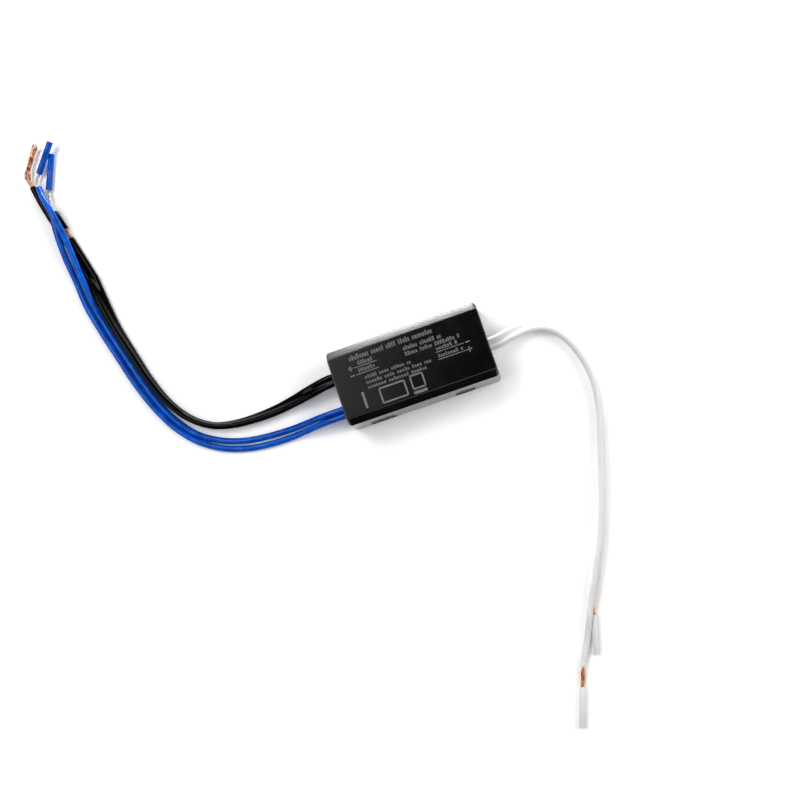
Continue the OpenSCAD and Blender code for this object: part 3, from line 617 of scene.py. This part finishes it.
def twinProfile(spec):
    # two round lobes that meet in a shallow groove
    r, c = spec["thick"] / 2, (spec["width"] - spec["thick"]) / 2
    count, reach = spec["lobePoints"], spec["lobeReach"]
    angles = [math.radians(-reach + 2 * reach * k / (count - 1)) for k in range(count)]
    right = [(c + r * math.cos(a), r * math.sin(a)) for a in angles]
    return right + [(-x, -y) for x, y in right]


lines = {name: smoothRoute(points, leadSpec["step"]) for name, points in routes.items()}
twin = twinProfile(leadSpec)
single = roundProfile(leadSpec["wire"], leadSpec["wireSides"])
# a little thicker, so that the pair touches at the housing
control = roundProfile(leadSpec["control"], leadSpec["wireSides"])

for name, route, profile, look, node in (
        ("supplyLead", "supply", twin, "black", "supply_lead"),
        ("lampLead", "lamp", twin, "white", "lamp_lead"),
        ("controlWireInner", "controlInner", control, "blue", "control_wire_inner"),
        ("controlWireOuter", "controlOuter", control, "blue", "control_wire_outer"),
        ("supplyWireLong", "supplyLong", single, "black", "supply_wire_long"),
        ("supplyWireShort", "supplyShort", single, "black", "supply_wire_short"),
        ("lampWireLong", "lampLong", single, "white", "lamp_wire_long"),
        ("lampWireShort", "lampShort", single, "white", "lamp_wire_short")):
    lead = closedPiece(name, *sweptMesh(lines[route], profile), leadSpec["foldAngle"])
    finishPiece(lead, look, node)
print("leads made")


# bare conductors
strandSpec = {
    "copper": {"bundle": 0.3, "strand": 0.26, "count": 8, "pitch": 5.5, "swell": 0.5, "open": 5.0},
    "tinned": {"bundle": 0.25, "strand": 0.4, "count": 6, "pitch": 7.0, "swell": 0.0, "open": 5.0},
    "sides": 7, "step": 0.35, "spread": (0.88, 1.06), "foldAngle": 60, "seed": 11,
}
fraySpec = {
    "count": 13, "thick": 0.14, "reach": 0.4, "spread": (0.2, 1), "root": 0.5, "open": 1.2, "flat": 0.6,
    "wave": (0.06, 0.26), "turns": (1.2, 3.6), "phase": (0, 6), "onset": 4, "stop": (0.76, 1.0),
    "sides": 6, "step": 0.4, "wispThick": 0.11,
}
coreRoutes = {
    "supplyShort": [(-78.88, 65.92, 0.9), (-79.45, 68.8, 0.9), (-80.66, 73.1, 0.9)],
    "controlInner": [(-83.02, 82.3, 1.9), (-83.2, 84.2, 1.4), (-81.9, 86.2, 1.2), (-78.1, 90.35, 2.4)],
    "controlOuter": [(-81.5, 71.5, 2.7), (-81.1, 75.8, 2.4), (-80.7, 81.1, 0.9), (-78.5, 86.7, 0.9)],
    "lampLong": [(16.08, -86.9, 0.9), (14.3, -91.6, 0.9), (12.3, -97.5, 0.9)],
    "lampShort": [(25.7, -68.75, 0.85), (23.8, -72.35, 0.7), (23.1, -75.28, 0.85), (22, -79.72, 0.9)],
}
frayRoutes = {
    "left": [(-85.1, 83.45, 0.9), (-86, 86.5, 0.7), (-84.8, 89.1, 0.6), (-82.9, 92, 0.6),
             (-80.4, 95.5, 0.6)],
    "right": [(-84.7, 83.45, 0.9), (-84.95, 86.1, 1.1), (-84, 88.6, 1.2), (-82.1, 91.5, 1.2),
              (-79.5, 94.8, 1.1)],
    "wisp": [(-83.4, 90.1, 1), (-82.3, 91.5, 1), (-80.6, 92, 1.1), (-78.8, 92.3, 1)],
}


def joinMeshes(name, parts):
    verts, faces = [], []
    for partVerts, partFaces in parts:
        start = len(verts)
        verts += partVerts
        faces += [tuple(start + i for i in face) for face in partFaces]
    return closedPiece(name, verts, faces, strandSpec["foldAngle"])


def twistedBundle(name, route, spec, dice):
    frames = routeFrames(smoothRoute(route, strandSpec["step"]))
    profile = roundProfile(spec["strand"], strandSpec["sides"])
    parts = []
    for i in range(spec["count"] + 1):
        # the last strand is the straight middle one
        reach = 0 if i == spec["count"] else spec["bundle"] * dice.uniform(*strandSpec["spread"])
        start, travelled, line = 2 * math.pi * i / spec["count"], 0.0, []
        for k, (spot, side, up, _) in enumerate(frames):
            travelled += (spot - frames[max(k - 1, 0)][0]).length
            angle = start + 2 * math.pi * travelled / spec["pitch"]
            # the bundle swells where it lies bare
            swell = 1 + spec["swell"] * max(0.0, math.sin(math.pi * min(travelled / spec["open"], 1)))
            q = spot + side * reach * swell * math.cos(angle) + up * reach * swell * math.sin(angle)
            line.append((q.x, q.y, q.z, 0.0))
        parts.append(sweptMesh(line, profile))
    return joinMeshes(name, parts)


def frayedStrands(route, spec, dice):
    # thin strands that start together, wander round the route and part towards their tips
    parts, profile = [], roundProfile(spec["thick"], spec["sides"])
    frames = routeFrames(smoothRoute(route, spec["step"]))
    for _ in range(spec["count"]):
        turn, reach = dice.uniform(0, 2 * math.pi), dice.uniform(*spec["spread"]) * spec["reach"]
        waves = [[dice.uniform(*spec[key]) for key in ("wave", "turns", "phase")] for _ in range(2)]
        keep, line = int(len(frames) * dice.uniform(*spec["stop"])), []
        for k, (spot, side, up, _) in enumerate(frames[:keep]):
            t = k / (len(frames) - 1)
            wide = reach * (spec["root"] + spec["open"] * t * t)
            sway, lift = (min(1, spec["onset"] * t) * size * math.sin(2 * math.pi * turns * t + phase)
                          for size, turns, phase in waves)
            rise = wide * math.sin(turn) * spec["flat"] + lift
            q = spot + side * (wide * math.cos(turn) + sway) + up * rise
            line.append((q.x, q.y, max(q.z, spec["thick"]), 0.0))
        parts.append(sweptMesh(line, profile))
    return parts


def frayedCore(name, spec, dice):
    left, right = (frayedStrands(frayRoutes[side], spec, dice) for side in ("left", "right"))
    wisp = sweptMesh(smoothRoute(frayRoutes["wisp"], spec["step"]),
                     roundProfile(spec["wispThick"], spec["sides"]))
    return joinMeshes(name, left + right + [wisp])


dice = random.Random(strandSpec["seed"])
for name, route, look, node in (
        ("supplyShortCore", "supplyShort", "copper", "supply_short_core"),
        ("lampLongCore", "lampLong", "copper", "lamp_long_core"),
        ("lampShortCore", "lampShort", "copper", "lamp_short_core"),
        ("controlInnerCore", "controlInner", "tinned", "control_inner_core"),
        ("controlOuterCore", "controlOuter", "tinned", "control_outer_core")):
    core = twistedBundle(name, coreRoutes[route], strandSpec[look], dice)
    finishPiece(core, look, node)
core = frayedCore("supplyFrayedCore", fraySpec, dice)
finishPiece(core, "copper", "supply_frayed_core")
print("conductors made")


# cut-off sleeves
sleeveSpec = {
    "outer": 1.7, "bore": 1.05, "sides": 28,
    "edge": 0.06, "edgeSteps": 2, "edgeAngle": 50, "foldAngle": 40,
}
sleeves = {
    # start, end, finish, solid
    "supplySleeve": ((-79.45, 68.8, 0.9), (-81, 74.4, 0.9), "black", "supply_sleeve"),
    "controlInnerSleeve": ((-81.9, 86.2, 1.2), (-75.6, 92.9, 3.1), "blue", "control_inner_sleeve"),
    "controlOuterSleeve": ((-80.7, 81.1, 0.9), (-77, 90.4, 0.9), "blue", "control_outer_sleeve"),
    "lampLongSleeve": ((14.3, -91.6, 0.9), (10.9, -101.4, 0.9), "white", "lamp_long_sleeve"),
    "lampShortSleeve": ((23.33, -75.28, 0.9), (20.42, -84.98, 0.9), "white", "lamp_short_sleeve"),
}


def sleevePiece(name, start, end, spec):
    # an open tube, laid along the core and given its wall and rims
    a, b = place(*start), place(*end)
    run = b - a
    deselectAll()
    bpy.ops.mesh.primitive_cylinder_add(vertices=spec["sides"], radius=spec["outer"] / 2 * mm,
                                        depth=run.length, end_fill_type="NOTHING")
    sleeve = bpy.context.object
    sleeve.name = name
    bpy.ops.object.mode_set(mode="EDIT")
    bpy.ops.mesh.select_all(action="SELECT")
    bpy.ops.mesh.subdivide(number_cuts=1)
    bpy.ops.object.mode_set(mode="OBJECT")
    turn = run.to_track_quat("Z", "Y").to_matrix().to_4x4()
    sleeve.matrix_world = Matrix.Translation((a + b) / 2) @ turn
    bpy.ops.object.transform_apply(location=True, rotation=True, scale=True)
    wall = (spec["outer"] - spec["bore"]) / 2 * mm
    applyModifier(sleeve, "wall", "SOLIDIFY", thickness=wall, offset=-1)
    applyModifier(sleeve, "rim", "BEVEL", width=spec["edge"] * mm, segments=spec["edgeSteps"],
                  angle_limit=math.radians(spec["edgeAngle"]))
    smoothByAngle(sleeve, spec["foldAngle"])
    return sleeve


for name, (start, end, look, node) in sleeves.items():
    sleeve = sleevePiece(name, start, end, sleeveSpec)
    finishPiece(sleeve, look, node)
print("sleeves made")


# each lead's route, turned to metres but not kept
def declareLead(name, route, exitPoint, diameter, *parts):
    [tuple(v * mm for v in p[:3]) for p in lines[route]]


declareLead("supplyLead", "supply", (-20.65, 3.8, 5.025), leadSpec["width"],
            "supplyWireLong", "supplyWireShort", "supplyShortCore", "supplyFrayedCore", "supplySleeve")
declareLead("controlWireInner", "controlInner", (-20.65, -4.3, 5.025), leadSpec["wire"],
            "controlInnerCore", "controlInnerSleeve")
declareLead("controlWireOuter", "controlOuter", (-20.65, -6.1, 5.025), leadSpec["wire"],
            "controlOuterCore", "controlOuterSleeve")
declareLead("lampLead", "lamp", (20.65, -0.6, 5.025), leadSpec["width"],
            "lampWireLong", "lampWireShort", "lampLongCore", "lampShortCore",
            "lampLongSleeve", "lampShortSleeve")


# pieces inside the housing
innerLooks = {
    "board": ["circuit_board"],
    "can": ["input_capacitor", "output_capacitor"],
    "chip": ["capacitor_feet", "control_chip", "power_transistor", "input_diode", "freewheel_diode",
             "sense_resistors", "chip_resistors"],
    "ferrite": ["inductor_core"],
    "winding": ["inductor_winding"],
    "lead": ["control_chip_pins", "power_transistor_pins", "diode_terminals", "fuse_caps",
             "chip_end_caps", "solder_joints"],
    "tinned": ["control_tails"],
    "ceramic": ["input_fuse"],
    "tan": ["chip_capacitors"],
    "copper": ["supply_tails", "lamp_tails"],
}
for look, names in innerLooks.items():
    for name in names:
        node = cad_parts[name]
        node.data.materials.clear()
        node.data.materials.append(finishes[look])
print("inner pieces dressed")


# stage and light
stageSpec = {
    "size": 3.0, "drop": 0.00002, "paper": (0.94, 0.945, 0.94), "lift": 1.42, "whiteSpan": (0.16, 0.42),
    "fibre": (260, 3, 0.5), "fibreShade": 0.985, "rough": 0.85, "shine": 0.2,
}
flagSpec = {"place": (0, -0.46, 0.125), "size": (0.9, 0.19, 1), "felt": (0.01, 0.01, 0.01)}
lightSpec = {
    "keyLamp": {"place": (-0.22, 0.3, 0.62), "size": (0.25, 0.25), "power": 1.6},
    "northLamp": {"place": (-0.03, 0.46, 0.35), "size": (0.36, 0.36), "power": 0.25},
    "rimLamp": {"place": (0.13, 0.62, 0.036), "size": (0.42, 0.09), "power": 5.6},
    "panelLamp": {"place": (-0.24, 0.06, 0.7), "size": (0.4, 0.35), "power": 0.28},
    "fillLamp": {"place": (-0.5, 0.02, 0.55), "size": (0.3, 0.3), "power": 0.95},
    "eastLamp": {"place": (0.36, -0.04, 0.3), "size": (0.36, 0.36), "power": 1.2},
    "southLamp": {"place": (0.04, -0.52, 0.56), "size": (0.5, 0.5), "power": 0.3},
    "westLamp": {"place": (-0.52, -0.12, 0.42), "size": (0.5, 0.5), "power": 0.3},
}
skySpec = {"level": 0.03, "seen": 1.0, "rise": (0.19, 0.24)}


def paperFinish(spec):
    # seen directly or mirrored, the paper is lifted to white, also beyond the lamps' reach
    f = Finish("paper")
    fibre, seen = f.noise(*spec["fibre"]), f.seen()
    shades = []
    for level in (1, spec["lift"]):
        pale = tuple(level * c for c in spec["paper"])
        shades.append(f.blend(fibre, tuple(spec["fibreShade"] * c for c in pale), pale))
    reach = f.node("ShaderNodeVectorMath", {"operation": "LENGTH"}, "Value", Vector=f.spot())
    return f.give(
        Base_Color=f.blend(seen, *shades),
        Emission_Color=f.blend(seen * f.ramp(reach, *spec["whiteSpan"]), (0, 0, 0), (1, 1, 1)),
        Emission_Strength=1.0,
        Roughness=spec["rough"],
        Specular_IOR_Level=spec["shine"],
    )


def makeStage(spec):
    deselectAll()
    bpy.ops.mesh.primitive_plane_add(size=spec["size"], location=(0, 0, -spec["drop"]))
    floor = bpy.context.object
    floor.name = "paperFloor"
    floor.data.materials.append(paperFinish(spec))


def makeFlag(spec):
    # a dark card past the near side, which the near bevel mirrors and the camera passes by
    deselectAll()
    bpy.ops.mesh.primitive_plane_add(size=1, location=spec["place"], rotation=(math.pi / 2, 0, 0))
    flag = bpy.context.object
    flag.name = "darkFlag"
    flag.scale = spec["size"]
    felt = Finish("darkFelt").give(Base_Color=spec["felt"], Roughness=1.0, Specular_IOR_Level=0.0)
    flag.data.materials.append(felt)
    flag.visible_camera = False


def areaLamp(name, spec):
    bpy.ops.object.light_add(type="AREA", location=spec["place"])
    lamp = bpy.context.object
    lamp.name = name
    lamp.data.shape = "RECTANGLE"
    lamp.data.size, lamp.data.size_y = spec["size"]
    lamp.data.energy = spec["power"]
    lamp.rotation_euler = (-Vector(spec["place"])).to_track_quat("-Z", "Y").to_euler()


def makeSky(spec):
    # a dim even room, whose low part is as white as the paper where it is seen
    world = bpy.data.worlds.new("softRoom")
    bpy.context.scene.world = world
    world.use_nodes = True
    sky, background = Nodes(world.node_tree), world.node_tree.nodes["Background"]
    height = sky.node("ShaderNodeSeparateXYZ", output="Z", Vector=sky.spot())
    low = 1 - sky.ramp(height, *spec["rise"])
    joinUp(sky.tree, (1, 1, 1), background.inputs["Color"])
    joinUp(sky.tree, spec["level"] + (spec["seen"] - spec["level"]) * low * sky.seen(),
           background.inputs["Strength"])


makeStage(stageSpec)
makeFlag(flagSpec)
for name, spec in lightSpec.items():
    areaLamp(name, spec)
makeSky(skySpec)
bpy.context.scene.view_settings.view_transform = "Standard"
print("stage made")
